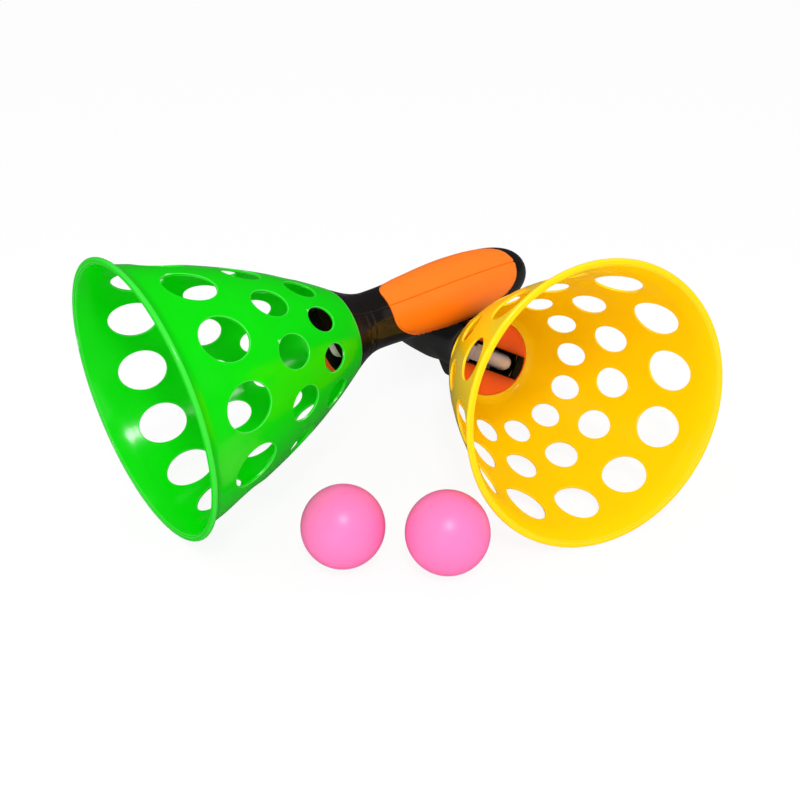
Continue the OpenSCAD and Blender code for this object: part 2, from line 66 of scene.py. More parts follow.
# Rows of oval holes: middle, half width, half length along the wall, turn in steps, and the cell's two edges
HOLES = 12
ROWS = (
    (27.5, 10.9, 12.8, 0.0, LIP_TOP, 45.8),
    (61.5, 8.3, 10.3, 0.5, 45.8, 75.3),
    (88.0, 6.9, 9.5, 0.0, 75.3, THROAT_LOW),
)
CELL_STEPS = 16

# Handle: the round form, and a second one that is set off toward the palm
NECK_Z, NECK_R, HEAD_R = 140.5, 16.8, 25.6
GRIP_Z, GRIP_R, BUTT_Z = 206.0, 20.4, 264.5
FINGER_SHIFT, FINGER_DEPTH, FINGER_DIP, FINGER_Z, FINGER_SLOPE = 8.0, 17.0, 1.8, 196.0, 1.5
MEETING_SOFT, POLE_R = 0.5, 4.0
GROOVES, GROOVE_DEEP, GROOVE_RAMP, GROOVE_LEAD, GROOVE_DROP = (125.4, 130.4), 0.7, 1.7, 0.3, 0.2
GROOVES_FROM, GROOVES_TO = 122.0, 133.5
SEAM_EASE, SHELL_WALL, BUTT_INSIDE = 0.28, 2.4, 0.955
HEAD_BORE, HEAD_BORE_END = 21.0, 118.8
# Slot of the trigger: half width, start and end
SLOT_WIDE, SLOT_FROM, SLOT_TO = 5.3, 140.8, 168.4
SCREWS = ((-8.0, 174.0), (-8.0, 196.333), (-8.0, 218.667), (-4.0, 241.0))
WELL_R, WELL_FLOOR, WELL_OUT = 3.1, 7.5, 30.0

# Grip panel: its outline, and its face over the shell
PANEL_START, PANEL_WIDE, PANEL_END, PANEL_HALF, PANEL_EDGE_X = 144.7, 201.0, 245.0, 20.3, 2.0
PANEL_RISE, PANEL_SUNK, PANEL_ROUND, PANEL_UNDER = 0.75, 0.25, 1.1, 1.4
PANEL_SEAM_DEEP, PANEL_SEAM_WIDE = 0.55, 0.3

# Seat: dish, ring, and the slot that the lever swings in
DISH, DISH_R, DISH_Z = 2.6, 20.8, 112.3
SEAT_R, SEAT_BACK, SEAT_RIM_Z = 21.6, 113.5, 111.9
SLOT_HALF, SLOT_END, GUIDE, GUIDE_END, BLOCK_FROM = 7.0, 21.6, 4.2, 20.6, 16.5
LUG_T, LUG_R, LUG_BASE, LUG_MID_Z, GUIDE_FOOT = 2.4, 2.8, 115.4, 118.0, 118.0
# Seat's ring: half width and height of its crown, and the heights of its foot and back
RING_HALF, RING_HIGH, RING_FOOT, RING_BACK = 0.8, 0.45, 112.6, 113.0
# Dished halves: reach along the slot, thickness, and the easing at the slot, its depth and width
DISH_REACH, DISH_T, DISH_EASE_DEEP, DISH_EASE_WIDE = 19.6, 1.5, 0.35, 0.3

# Lever: pin, arm from its top to its underside, half width, and the raised round end
LEVER_PIN = (-13.5, 119.6)
ARM_TOP, ARM_LOW, ARM_HALF, ARM_ROUND_Y = 116.6, 119.6, 5.25, 9.2
# Arm: length of its round end, straight sides, and its foot's half width and place
ARM_ROUND, ARM_SIDE, ARM_FOOT_HALF, ARM_FOOT_Y = 5.0, (8.6, -10.2), 5.0, -10.4
# Hub and the neck between it and the arm, and the catch: its tab and its wider foot beside the sear
HUB_X, HUB_R, ARM_NECK_X = (-6.7, 3.6), 2.9, (-5.0, 3.4)
CATCH_X, CATCH_Y, CATCH_Z, CATCH_FOOT_X, CATCH_FOOT_Z = (-5.2, -3.3), (3.0, 7.0), (118.0, 125.0), -7.5, 123.0
NUB, NUB_HALF, NUB_Y, NUB_LONG, NUB_BACK = 8.0, 5.2, 8.6, 5.4, 16.6

# Trigger's finger pad: ends, face at rest, bulge, back, half width and the eased ends
PAD_Z, PAD_OUT, PAD_BULGE, PAD_BACK = (141.25, 167.05), -15.3, 6.0, -11.5
PAD_HALF, PAD_HOLLOW, PAD_EASE = 5.08, 0.5, 1.0
TRIGGER_PIN = (-9.2, 136.0)

# Torsion springs: turns, radius, pitch and wire
COIL_TURNS, COIL_R, COIL_PITCH, WIRE = 2.75, 2.3, 0.86, 0.4
# Lever's spring: place along its pin, the leg's two ends and height, and the tail's length
LEVER_COIL_X, LEVER_LEG_Y, LEVER_LEG_Z, LEVER_TAIL = 4.25, (-3.4, -10.9), 120.05, 3.2
# Trigger's spring: place along its pin, and the leg's place and two ends
TRIGGER_COIL_Y, TRIGGER_LEG_X, TRIGGER_LEG_Z = 2.7, -7.6, (148.6, 137.9)

BALL_R, BALL_SEAM_DEEP, BALL_SEAM_WIDE = 20.0, 0.09, 0.012

# Layout: x, y, turn, tilt, palm angle, in millimetres and degrees
SHIFT = np.array([4.2, 34.6])
CATCHERS = {
    "green": (-123.4, -128.2, 40.7, 0.982375, 136.4),
    "yellow": (95.1, -130.2, 111.5, -12.5279, 117.8),
}
# Balls: x, y and how far each has rolled round the upright and round x, in radians
BALLS = {"ball_left": (-26.82, -155.243, 0.5, 1.2), "ball_right": (22.169, -159.788, -0.8, 0.9)}


def axes_of(name):
    """Origin and the x, y and z directions of a catcher's frame in the row frame, in millimetres."""
    x, y, turn, tilt, palm = CATCHERS[name]
    turn, tilt, palm = (math.radians(a) for a in (turn, tilt, palm))
    run = np.array([math.cos(tilt) * math.cos(turn), math.cos(tilt) * math.sin(turn), math.sin(tilt)])
    side = np.array([-math.sin(turn), math.cos(turn), 0.0])
    lift = np.cross(run, side)
    ex = math.cos(palm) * side + math.sin(palm) * lift
    height = (LIP_R - BEAD) * math.cos(tilt) + BEAD * (1 - math.sin(tilt))
    return np.array([x + SHIFT[0], y + SHIFT[1], height]), ex, np.cross(run, ex), run


def place(points, name):
    """Points of a catcher's frame in millimetres, as row-frame points in metres."""
    origin, ex, ey, ez = axes_of(name)
    return (origin + points[..., :1] * ex + points[..., 1:2] * ey + points[..., 2:] * ez) * MM


def placed(grids, name):
    """The same for a list of grids, each with whether it closes along u and along v."""
    return [(place(grid, name), loop_u, loop_v) for grid, loop_u, loop_v in grids]


def cells(shape, start, loop_u, loop_v):
    """Corner numbers of the four-sided faces of a grid, closed along u or v where asked."""
    idx = start + np.arange(shape[0] * shape[1]).reshape(shape[:2])
    if loop_u:
        idx = np.vstack([idx, idx[:1]])
    if loop_v:
        idx = np.hstack([idx, idx[:, :1]])
    return np.stack([idx[:-1, :-1], idx[1:, :-1], idx[1:, 1:], idx[:-1, 1:]], -1).reshape(-1, 4)


def shade_smooth(mesh, sharp):
    """Smooth shading that breaks at edges sharper than an angle in degrees."""
    mesh.polygons.foreach_set("use_smooth", np.ones(len(mesh.polygons), bool))
    mesh.set_sharp_from_angle(angle=math.radians(sharp))


def surface(name, grids, material, body, stands_for=(), sharp=40.0):
    """One mesh from several grids given as (points in metres, closed along u, closed along v).

    Equal points are welded, faces that closed up to a line are dropped and the rest are turned outwards.
    """
    points, faces, start = [], [], 0
    for grid, loop_u, loop_v in grids:
        points.append(grid.reshape(-1, 3))
        faces.append(cells(grid.shape, start, loop_u, loop_v))
        start += grid.shape[0] * grid.shape[1]
    points, faces = np.vstack(points), np.vstack(faces)
    keys = np.round(points / 2e-7).astype(np.int64)
    _, first, back = np.unique(keys, axis=0, return_index=True, return_inverse=True)
    points, faces = points[first], back.reshape(-1)[faces]
    corners = [tuple(dict.fromkeys(f)) for f in faces.tolist()]
    mesh = bpy.data.meshes.new(name)
    mesh.from_pydata(points.tolist(), [], [c for c in corners if len(c) > 2])
    mesh.validate()
    shell = bmesh.new()
    shell.from_mesh(mesh)
    bmesh.ops.recalc_face_normals(shell, faces=shell.faces[:])
    shell.to_mesh(mesh)
    shell.free()
    shade_smooth(mesh, sharp)
    mesh.materials.append(material)
    piece = bpy.data.objects.new(name, mesh)
    bpy.context.scene.collection.objects.link(piece)
    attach(piece, body)
    if stands_for:
        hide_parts(*stands_for)
    return piece


# Materials

def new_material(name):
    """A material with its shader node and a function that adds a node and sets its inputs."""
    mat = bpy.data.materials.new(name)
    mat.use_nodes = True
    tree = mat.node_tree
    shader = tree.nodes["Principled BSDF"]

    def node(kind, links=(), **values):
        n = tree.nodes.new(kind)
        for key, value in values.items():
            if key in n.inputs:
                n.inputs[key].default_value = value
            else:
                setattr(n, key, value)
        for socket, source in dict(links).items():
            tree.links.new(source, n.inputs[socket])
        return n

    return mat, tree, shader, node


def mapped(node, source, to_min, to_max, from_min=0.0, from_max=1.0):
    """A value carried from one span to another."""
    n = node("ShaderNodeMapRange", {"Value": source})
    spans = (("From Min", from_min), ("From Max", from_max), ("To Min", to_min), ("To Max", to_max))
    for socket, value in spans:
        n.inputs[socket].default_value = value
    return n.outputs["Result"]


def moulded(name, colour, shade, rough, spread, coat=0.0, grain=900.0, grain_depth=0.04, flow=60.0, glow=0.0,
            edge=0.0, mirror=0.5):
    """Moulded plastic: slow colour drift from the melt's flow, uneven gloss and the tool's fine grain.

    Edges that stick out get a painted highlight, paled by the share called edge. mirror is the plastic's
    specular level, coat its clear gloss and glow the share of light that goes below the surface.
    """
    mat, tree, shader, node = new_material(name)
    where = node("ShaderNodeTexCoord").outputs["Object"]
    drift = node("ShaderNodeTexNoise", {"Vector": where}, Scale=flow, Detail=3.0, Roughness=0.5)
    tint = node("ShaderNodeMix", {"Factor": drift.outputs["Fac"]}, data_type="RGBA")
    tint.inputs["A"].default_value = (*shade, 1.0)
    tint.inputs["B"].default_value = (*colour, 1.0)
    out = tint.outputs["Result"]
    # Painted highlight: the sharpest convex edges, picked out by pointiness, are paled toward white
    if edge:
        sharp = node("ShaderNodeNewGeometry").outputs["Pointiness"]
        share = mapped(node, sharp, 0.0, edge, from_min=0.513, from_max=0.552)
        painted_edge_highlight = node("ShaderNodeMix", {"Factor": share, "A": out}, data_type="RGBA")
        painted_edge_highlight.inputs["B"].default_value = (*[0.5 + 0.5 * c for c in colour], 1.0)
        out = painted_edge_highlight.outputs["Result"]
    tree.links.new(out, shader.inputs["Base Color"])
    smear = node("ShaderNodeTexNoise", {"Vector": where}, Scale=flow * 4, Detail=4.0, Roughness=0.6)
    gloss = mapped(node, smear.outputs["Fac"], rough - spread, rough + spread)
    tree.links.new(gloss, shader.inputs["Roughness"])
    fine = node("ShaderNodeTexNoise", {"Vector": where}, Scale=grain, Detail=2.0, Roughness=0.5)
    bump = node("ShaderNodeBump", {"Height": fine.outputs["Fac"]}, Strength=grain_depth, Distance=0.0003)
    tree.links.new(bump.outputs["Normal"], shader.inputs["Normal"])
    shader.inputs["IOR"].default_value = 1.49
    shader.inputs["Specular IOR Level"].default_value = mirror
    shader.inputs["Coat Weight"].default_value = coat
    shader.inputs["Coat Roughness"].default_value = 0.08
    if glow:
        shader.inputs["Subsurface Weight"].default_value = glow
        shader.inputs["Subsurface Radius"].default_value = (1.0, 0.8, 0.3)
        shader.inputs["Subsurface Scale"].default_value = 0.002
    return mat


def turned_steel(name, colour, rough, lines):
    """Bright steel with fine drawing lines that vary the gloss, and a trace of dulling."""
    mat, tree, shader, node = new_material(name)
    where = node("ShaderNodeTexCoord").outputs["Object"]
    drawn = node("ShaderNodeTexNoise", {"Vector": where}, Scale=lines, Detail=4.0, Roughness=0.65)
    gloss = mapped(node, drawn.outputs["Fac"], rough - 0.1, rough + 0.12)
    tree.links.new(gloss, shader.inputs["Roughness"])
    tint = node("ShaderNodeMix", {"Factor": drawn.outputs["Fac"]}, data_type="RGBA")
    tint.inputs["A"].default_value = (*[c * 0.8 for c in colour], 1.0)
    tint.inputs["B"].default_value = (*colour, 1.0)
    tree.links.new(tint.outputs["Result"], shader.inputs["Base Color"])
    shader.inputs["Metallic"].default_value = 1.0
    return mat


# edge is the share of painted highlight on the baskets' sharp hole and lip edges
GREEN = moulded("green_basket_plastic", (0.0005, 0.65, 0.0008), (0.0005, 0.59, 0.0006), 0.17, 0.04,
                glow=0.1, edge=0.6, mirror=0.3)
YELLOW = moulded("yellow_basket_plastic", (0.98, 0.62, 0.0005), (0.96, 0.57, 0.0005), 0.17, 0.04,
                 glow=0.1, edge=0.3, mirror=0.24)
BLACK = moulded("black_shell_plastic", (0.010, 0.008, 0.008), (0.006, 0.005, 0.005), 0.2, 0.06,
                coat=0.2, mirror=0.4)
GUIDES = moulded("black_guide_plastic", (0.007, 0.006, 0.006), (0.004, 0.004, 0.004), 0.5, 0.06, mirror=0.15)
GRIP = moulded("orange_grip_plastic", (1.0, 0.205, 0.004), (0.95, 0.18, 0.003), 0.4, 0.06,
               grain=2200.0, grain_depth=0.1, mirror=0.3)
SEAT = moulded("orange_seat_plastic", (1.0, 0.13, 0.002), (0.9, 0.10, 0.001), 0.36, 0.05, mirror=0.25)
PALE = moulded("pale_lever_plastic", (0.66, 0.54, 0.51), (0.5, 0.38, 0.35), 0.3, 0.08)
PINK = moulded("pink_ball_plastic", (1.0, 0.19, 0.48), (1.0, 0.17, 0.44), 0.36, 0.05, grain=1500.0, glow=0.15)
PIN_STEEL = turned_steel("ground_pin_steel", (0.62, 0.63, 0.65), 0.25, 900.0)
SPRING_STEEL = turned_steel("drawn_spring_wire", (0.5, 0.5, 0.52), 0.32, 1600.0)
SCREW_STEEL = turned_steel("plated_screw_steel", (0.62, 0.63, 0.64), 0.34, 700.0)


# Basket

def wall_r(z):
    """Outer radius of the wall: a straight cone less a power term that brings it to the throat."""
    return MOUTH_R - SIDE * z - BEND * (np.maximum(z, 0) / CUP_LEN) ** BOW


def wall_lean(z):
    """Angle between the wall and the axis."""
    return np.arctan(SIDE + BOW * BEND * (np.maximum(z, 0) / CUP_LEN) ** (BOW - 1) / CUP_LEN)


def wall_point(theta, z, depth):
    """Point at an angle and height on the wall, sunk by depth along the inward normal."""
    lean = wall_lean(z)
    r = wall_r(z) - depth * np.cos(lean)
    return np.stack([r * np.cos(theta), r * np.sin(theta), z - depth * np.sin(lean)], -1)


def inside_wall(z, flare=0.0):
    """Profile of the wall's inside, opened by a flare."""
    lean = wall_lean(z)
    return np.stack([wall_r(z) - WALL * np.cos(lean) + flare, z - WALL * np.sin(lean)], 1)


def hole_cells(z_mid, across, along, turn, z0, z1):
    """One row of cells, each a frame of wall round a hole: u runs round the hole, v from the cell's outer
    edge to the hole, over its rounded rim, through it and back along the inside. Between the square edge and
    the oval the surface point is the straight blend of the two in angle and height."""
    half = PI / HOLES
    s = np.linspace(-1, 1, CELL_STEPS + 1)[:-1]
    h = np.linspace(0, 1, CELL_STEPS + 1)[:-1]
    level = np.full(CELL_STEPS, 1.0)
    edge_t = np.concatenate([s * half, half * level, -s * half, -half * level])
    edge_z = np.concatenate([z0 * level, z0 + h * (z1 - z0), z1 * level, z1 + h * (z0 - z1)])
    tilt = math.cos(float(wall_lean(np.array(z_mid))))
    phi = np.arctan2((edge_z - z_mid) / tilt / along, wall_r(z_mid) * edge_t / across)

    def oval(grow):
        z = z_mid + (along + grow) * np.sin(phi) * tilt
        return np.arcsin((across + grow) * np.cos(phi) / wall_r(z)), z

    def frame_rows(shares, depth):
        rim_t, rim_z = oval(RIM_ROUND)
        return [(b * edge_t + (1 - b) * rim_t, b * edge_z + (1 - b) * rim_z, depth) for b in shares]

    shares = np.array([1.0, 0.82, 0.62, 0.44, 0.28, 0.14, 0.05, 0.0])
    arc = np.linspace(0, PI / 2, 5)
    rows = frame_rows(shares, 0.0)
    rows += [(*oval(RIM_ROUND * (1 - math.sin(a))), RIM_ROUND * (1 - math.cos(a))) for a in arc[1:]]
    rows += [(*oval(RIM_ROUND * (1 - math.sin(a))), WALL - RIM_ROUND * (1 - math.cos(a))) for a in arc[::-1]]
    rows += frame_rows(shares[::-1][1:], WALL)
    grids = []
    for k in range(HOLES):
        mid = (k + turn) * 2 * PI / HOLES
        grids.append((np.stack([wall_point(mid + t, z, d) for t, z, d in rows], 1), True, False))
    return grids


def turned(profile, count, start=0.0):
    """Profile of [r, z] points carried round the axis in count steps."""
    theta = start + np.arange(count) * 2 * PI / count
    r, z = profile[:, 0], profile[:, 1]
    return np.stack([np.outer(np.cos(theta), r), np.outer(np.sin(theta), r), np.tile(z, (count, 1))], -1)


def lip_profile():
    """From the wall down a hollow to the bead, round it, over the flat rim and up the flare to the inside."""
    meet = math.radians(BEAD_TURN)
    z0 = BEAD * (1 + math.sin(meet))
    r0 = LIP_R - BEAD * (1 - math.cos(meet))
    z = np.linspace(LIP_TOP, LIP_LEN, 4)[:-1]
    wall = np.stack([wall_r(z), z], 1)
    t = np.linspace(0, 1, 14)
    z = LIP_LEN + t * (z0 - LIP_LEN)
    cove = np.stack([wall_r(z) + (r0 - wall_r(z0)) * t ** 2, z], 1)
    a = np.radians(np.linspace(BEAD_TURN, -90, 16))[1:]
    nose = np.stack([LIP_R - BEAD + BEAD * np.cos(a), BEAD + BEAD * np.sin(a)], 1)
    a = np.linspace(0, PI / 2, 6)
    ease = np.stack([LIP_R - LIP_FLAT - LIP_EASE * np.sin(a), LIP_EASE * (1 - np.cos(a))], 1)
    z = np.linspace(2 * LIP_EASE, LIP_TOP, 14)
    flare = (LIP_R - LIP_WIDE - MOUTH_R + WALL) * np.clip(1 - z / LIP_TOP, 0, 1) ** 2
    return np.vstack([wall, cove, nose, ease, inside_wall(z, flare)])


def throat_profile():
    """From the last row of holes to the handle's face, in to the collar, back to the ledge and up the inside.
    The sweep between the ledge and the wall is a cubic curve along both."""
    z = np.linspace(THROAT_LOW, CUP_LEN - FACE_EASE, 14)
    outside = np.stack([wall_r(z), z], 1)
    collar = np.array([
        [wall_r(CUP_LEN) - FACE_IN, CUP_LEN - FACE_DROP], [COLLAR_R, CUP_LEN], [COLLAR_R, COLLAR_END],
        [COLLAR_IN, COLLAR_END], [COLLAR_IN, SHELF_Z], [LEDGE_R - LEDGE_ROUND, SHELF_Z],
    ])
    a = np.linspace(0, PI / 2, 6)
    ledge = np.stack([LEDGE_R - LEDGE_ROUND * np.cos(a), LEDGE_Z - LEDGE_ROUND * np.sin(a)], 1)
    inside = inside_wall(np.linspace(SWEEP_TOP, THROAT_LOW, 10))
    t = np.linspace(0, 1, 8)[1:-1, None]
    p0, p3 = ledge[-1], inside[0]
    p1 = p0 + [SWEEP_OUT, 0]
    p2 = p3 + (inside[0] - inside[1]) * SWEEP_UP
    sweep = (1 - t) ** 3 * p0 + 3 * (1 - t) ** 2 * t * p1 + 3 * (1 - t) * t ** 2 * p2 + t ** 3 * p3
    return np.vstack([outside, collar, ledge, sweep, inside])


def basket(name, material):
    """Three rows of cells between the turned lip and the turned throat."""
    grids = [grid for row in ROWS for grid in hole_cells(*row)]
    for profile in (lip_profile(), throat_profile()):
        grids.append((turned(profile, HOLES * CELL_STEPS, -PI / HOLES), True, False))
    return surface(f"{name}_basket", placed(grids, name), material, f"{name}_catcher",
                   (f"{name}_cup",), sharp=50.0)


# Handle

def share_of(z, start, end):
    """How far z is from start to end, held between 0 and 1."""
    return np.clip((z - start) / (end - start), 0, 1)


def round_r(z):
    """Radius of the handle: flare from head to neck, cosine swell to the grip, round butt."""
    z = np.asarray(z, float)
    flare = NECK_R + (HEAD_R - NECK_R) * (1 - np.cos(PI / 2 * share_of(z, NECK_Z, CUP_LEN)))
    swell = NECK_R + (GRIP_R - NECK_R) * (1 - np.cos(PI * share_of(z, NECK_Z, GRIP_Z))) / 2
    butt = GRIP_R * (1 - share_of(z, GRIP_Z, BUTT_Z) ** 3) ** 0.4
    return np.where(z < NECK_Z, flare, np.where(z < GRIP_Z, swell, butt))


def finger_r(z):
    """Distance from the axis to the second round form, whose axis is set off toward the palm."""
    dip = FINGER_DEPTH - FINGER_DIP * (1 - np.cos(2 * PI * share_of(z, NECK_Z, FINGER_Z))) / 2
    butt = FINGER_DEPTH * (1 - share_of(z, FINGER_Z, BUTT_Z) ** 4) ** 0.4
    r = FINGER_SHIFT + np.where(z < FINGER_Z, dip, butt)
    return np.where(z < NECK_Z, r + (NECK_Z - z) * FINGER_SLOPE, r)


def shell_r(theta, z):
    """Radius of the shell at an angle: the softened lesser of the round form and the shifted one, and the
    plain lesser toward the butt's pole."""
    a = round_r(z)
    reach = np.sqrt(np.maximum(finger_r(z) ** 2 - (FINGER_SHIFT * np.sin(theta)) ** 2, 0))
    b = FINGER_SHIFT * np.cos(theta) + reach
    low = np.minimum(a, b)
    soft = np.maximum(low - MEETING_SOFT * np.log1p(np.exp(-np.abs(a - b) / MEETING_SOFT)), 0)
    share = np.minimum(low / POLE_R, 1)
    return soft * share + low * (1 - share)


def shell_z():
    """Heights of the shell's rings, close together at the grooves and the butt and doubled at the slot's
    ends, and whether the trigger's slot opens each ring."""
    stretches = (
        (np.linspace(CUP_LEN, GROOVES_FROM, 12)[:-1], False),
        (np.linspace(GROOVES_FROM, GROOVES_TO, 60)[:-1], False),
        (np.linspace(GROOVES_TO, SLOT_FROM, 8), False),
        (np.linspace(SLOT_FROM, SLOT_TO, 20), True),
        (np.linspace(SLOT_TO, GRIP_Z, 28), False),
        (GRIP_Z + np.sin(np.linspace(0, PI / 2, 44)[1:]) * (BUTT_Z - GRIP_Z), False),
    )
    z = np.concatenate([rings for rings, _ in stretches])
    return z, np.concatenate([np.full(len(rings), cut) for rings, cut in stretches])


def handle_shell(side):
    """Half of the handle as a closed shell: u runs along the axis, v round the outside from the palm seam to
    the finger seam and back round the inside. Grooves drop steeply and rise again on a slow ramp, and the
    seam edges are eased."""
    z, notch = shell_z()
    share = np.concatenate([[0, 0.003, 0.008, 0.016], np.linspace(0.03, 0.97, 44), [0.984, 0.992, 0.997, 1]])
    r_mid = shell_r(np.full_like(z, PI), z)
    cut = np.where(notch, np.arcsin(np.clip(SLOT_WIDE / np.maximum(r_mid, 6), 0, 1)), 0)
    theta = share[None, :] * (PI - cut[:, None])
    zz = np.repeat(z[:, None], len(share), 1)
    r = shell_r(theta, zz)
    for groove in GROOVES:
        along = (zz - groove + GROOVE_LEAD) / GROOVE_RAMP
        drop = np.clip(along / GROOVE_DROP, 0, 1)
        climb = np.clip(1 - (along - GROOVE_DROP) / (1 - GROOVE_DROP), 0, 1)
        r = r - GROOVE_DEEP * drop * climb
    seam_gap = np.minimum(theta, np.where(notch[:, None], np.inf, PI - theta)) * r
    r = np.maximum(r - SEAM_EASE * np.exp(-(seam_gap / SEAM_EASE) ** 2), 0)
    r = np.where(zz > BUTT_Z - 1e-6, 0, r)
    outer = np.stack([r * np.cos(theta), side * r * np.sin(theta), zz], -1)
    low = np.where(zz < HEAD_BORE_END, HEAD_BORE, np.maximum(r - SHELL_WALL, 0))
    z_in = np.where(zz > GRIP_Z, GRIP_Z + (zz - GRIP_Z) * BUTT_INSIDE, zz)
    inner = np.stack([low * np.cos(theta), side * low * np.sin(theta), z_in], -1)
    return np.concatenate([outer, inner[:, ::-1]], 1)


def cut_wells(piece, name):
    """Round wells for the screw heads, cut with closed cylinders through the right shell."""
    a = np.arange(40) * 2 * PI / 40
    tools = []
    for x, z in SCREWS:
        ring = np.stack([x + WELL_R * np.cos(a), np.zeros(40), z + WELL_R * np.sin(a)], -1)
        floor_mid, top_mid = ring * 0 + [x, WELL_FLOOR, z], ring * 0 + [x, WELL_OUT, z]
        rings = [floor_mid, ring + [0, WELL_FLOOR, 0], ring + [0, WELL_OUT, 0], top_mid]
        tools.append((np.stack(rings), False, True))
    tool = surface(f"{name}_well_tool", placed(tools, name), BLACK, f"{name}_catcher")
    wells = piece.modifiers.new("screw_wells", "BOOLEAN")
    wells.operation = "DIFFERENCE"
    wells.solver = "EXACT"
    wells.object = tool
    bpy.context.view_layer.update()
    cut = bpy.data.meshes.new_from_object(piece.evaluated_get(bpy.context.evaluated_depsgraph_get()))
    piece.modifiers.clear()
    piece.data = cut
    bpy.data.objects.remove(tool)
    shade_smooth(cut, 35.0)


def handle(name):
    """Both halves of the shell; the right one has the wells of the screws."""
    for side, label in ((1, "right"), (-1, "left")):
        shell = surface(f"{name}_shell_{label}", placed([(handle_shell(side), False, True)], name), BLACK,
                        f"{name}_catcher", (f"{name}_handle_{label}",), sharp=45.0)
        if side > 0:
            cut_wells(shell, name)


# Grip panel

def panel_y(z):
    """Half width of the panel's outline seen from the palm: a rounded oval, blunter toward the neck."""
    front = z < PANEL_WIDE
    t = np.where(front, share_of(z, PANEL_WIDE, PANEL_START), share_of(z, PANEL_WIDE, PANEL_END))
    w = PANEL_HALF * np.maximum(1 - t ** 2, 0) ** np.where(front, 0.22, 0.33)
    return np.minimum(w, np.sqrt(np.maximum((round_r(z) + 0.3) ** 2 - PANEL_EDGE_X ** 2, 0)))


def grip_panel(name, side, label):
    """Half of the grip: u runs along the axis, v from the seam to the edge. The height over the shell rises
    from the edge as a quarter round and sinks again at the seam; a second sheet under the shell's face
    closes it."""
    t = np.sin(np.linspace(-PI / 2, PI / 2, 150)) * 0.985 + np.linspace(-1, 1, 150) * 0.015
    z = PANEL_WIDE + t * np.where(t < 0, PANEL_WIDE - PANEL_START, PANEL_END - PANEL_WIDE)
    edge_share = 1 - 0.14 * np.linspace(0.88, 0, 16) ** 1.5
    share = np.concatenate([[0, 0.008, 0.018, 0.034], np.linspace(0.06, 0.86, 22), edge_share])
    zz = np.repeat(z[:, None], len(share), 1)
    y = panel_y(z)[:, None] * share
    line_z = np.concatenate([
        np.linspace(PANEL_START, PANEL_START + 6, 60), np.linspace(PANEL_START + 6, PANEL_END - 6, 120),
        np.linspace(PANEL_END - 6, PANEL_END, 60),
    ])
    line = np.stack([panel_y(line_z), line_z], 1)
    away = np.min(np.hypot(y[..., None] - line[:, 0], zz[..., None] - line[:, 1]), -1)
    away = np.where(share > 0.9999, 0, away)
    quarter = np.sqrt(np.clip(1 - (1 - np.clip(away / PANEL_ROUND, 0, 1)) ** 2, 0, 1))
    height = (PANEL_RISE + PANEL_SUNK) * quarter - PANEL_SUNK
    height = height - PANEL_SEAM_DEEP * np.exp(-(y / PANEL_SEAM_WIDE) ** 2)
    y = np.maximum(y, 0.02)

    def lay(h):
        r = round_r(zz) + h
        yy = np.minimum(y, r * 0.9999)
        return np.stack([np.sqrt(r ** 2 - yy ** 2), side * yy, zz], -1)

    top, under = lay(height), lay(np.full_like(height, -PANEL_UNDER))
    grids = [(np.concatenate([top, under[:, ::-1]], 1), False, True)]
    grids += [(np.stack([top[i], under[i]]), False, False) for i in (0, -1)]
    return surface(f"{name}_grip_panel_{label}", placed(grids, name), GRIP, f"{name}_catcher",
                   (f"{name}_grip_{label}",), sharp=60.0)


# Ball seat and launch lever

def dish_z(r):
    """Height of the seat's dish, a shallow bowl."""
    return DISH_Z + DISH * (1 - (r / DISH_R) ** 2)


def upright(x, outline):
    """Outline of [y, z] points, or one point, set at x."""
    return np.column_stack([np.full(len(outline), x), outline])


def seat(name):
    """Rim ring carried round the axis, two dished halves beside the slot, and two lugs for the lever's pin.
    A half is swept across the slot side: u runs along the slot, v out to the ring's edge."""
    a = np.linspace(0, PI, 9)
    crown = np.stack([SEAT_R + RING_HALF * np.cos(a), SEAT_RIM_Z + RING_HIGH * (1 - np.sin(a))], 1)
    inner, outer = DISH_R - 0.5, SEAT_R + RING_HALF
    back = [[DISH_R, RING_FOOT], [inner, RING_BACK], [inner, SEAT_BACK], [outer, SEAT_BACK]]
    grids = [(turned(np.vstack([crown, back]), 180), True, True)]
    y = np.sin(np.linspace(-PI / 2, PI / 2, 60)) * DISH_REACH
    share = np.concatenate([[0, 0.01, 0.03, 0.06], np.linspace(0.1, 1, 26)])
    x = SLOT_HALF + (np.sqrt((DISH_R + 0.01) ** 2 - y ** 2) - SLOT_HALF)[:, None] * share
    yy = np.repeat(y[:, None], len(share), 1)
    face = dish_z(np.hypot(x, yy)) + DISH_EASE_DEEP * np.exp(-((x - SLOT_HALF) / DISH_EASE_WIDE) ** 2)
    pin_y, pin_z = LEVER_PIN
    a = np.linspace(0, PI, 14)
    head = np.stack([pin_y - LUG_R * np.cos(a), pin_z + LUG_R * np.sin(a)], 1)
    lug = np.vstack([[[pin_y - LUG_R, LUG_BASE]], head, [[pin_y + LUG_R, LUG_BASE]]])
    lug_mid = np.tile([pin_y, LUG_MID_Z], (len(lug), 1))
    for side in (1, -1):
        top = np.stack([side * x, yy, face], -1)
        low = top + [0, 0, DISH_T]
        low[..., 2] = np.maximum(low[..., 2], SHELF_Z)
        grids.append((np.concatenate([top, low[:, ::-1]], 1), False, True))
        grids += [(np.stack([top[i], low[i]]), False, False) for i in (0, -1)]
        near, far = side * SLOT_HALF, side * (SLOT_HALF + LUG_T)
        sheets = [upright(near, lug_mid), upright(near, lug), upright(far, lug), upright(far, lug_mid)]
        grids.append((np.stack(sheets), False, True))
    return surface(f"{name}_seat_dish", placed(grids, name), SEAT, f"{name}_catcher",
                   (f"{name}_ball_seat",), sharp=50.0)


